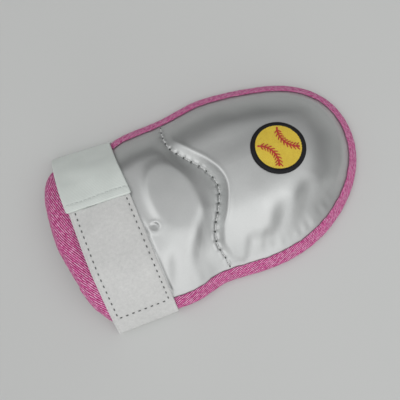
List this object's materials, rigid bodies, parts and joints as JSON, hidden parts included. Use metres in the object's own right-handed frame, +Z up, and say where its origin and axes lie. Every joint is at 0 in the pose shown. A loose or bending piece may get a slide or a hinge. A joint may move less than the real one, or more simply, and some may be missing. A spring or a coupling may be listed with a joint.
{
  "type": "batter's elbow guard",
  "caption": "Padded elbow guard for a batter: silver cloth cup and arm pad joined by an S seam, bound edge, and a hook-and-loop strap fastened round the open arm end.",
  "frame": {"origin": "on the surface the guard lies on, below the middle of its overall box", "axes": "+X along the guard towards the elbow end, +Y across it to the rim where the strap's tab comes over, +Z up from the open side"},
  "size_m": [0.2592, 0.1618, 0.0444],
  "materials": {
    "silver_cloth": "pearl coated satin",
    "edge_tape": "twill tape",
    "loop_tape": "brushed loop pile",
    "hook_tape": "woven nylon",
    "elastic": "ribbed elastic",
    "badge_thread": "satin stitch"
  },
  "bodies": {
    "root": {"elbow_pad": "silver_cloth", "arm_pad": "silver_cloth", "edge_binding": "edge_tape", "loop_band": "loop_tape", "hook_tab": "hook_tape", "elastic_strap": "elastic", "emblem_badge": "badge_thread"}
  },
  "joints": []
}
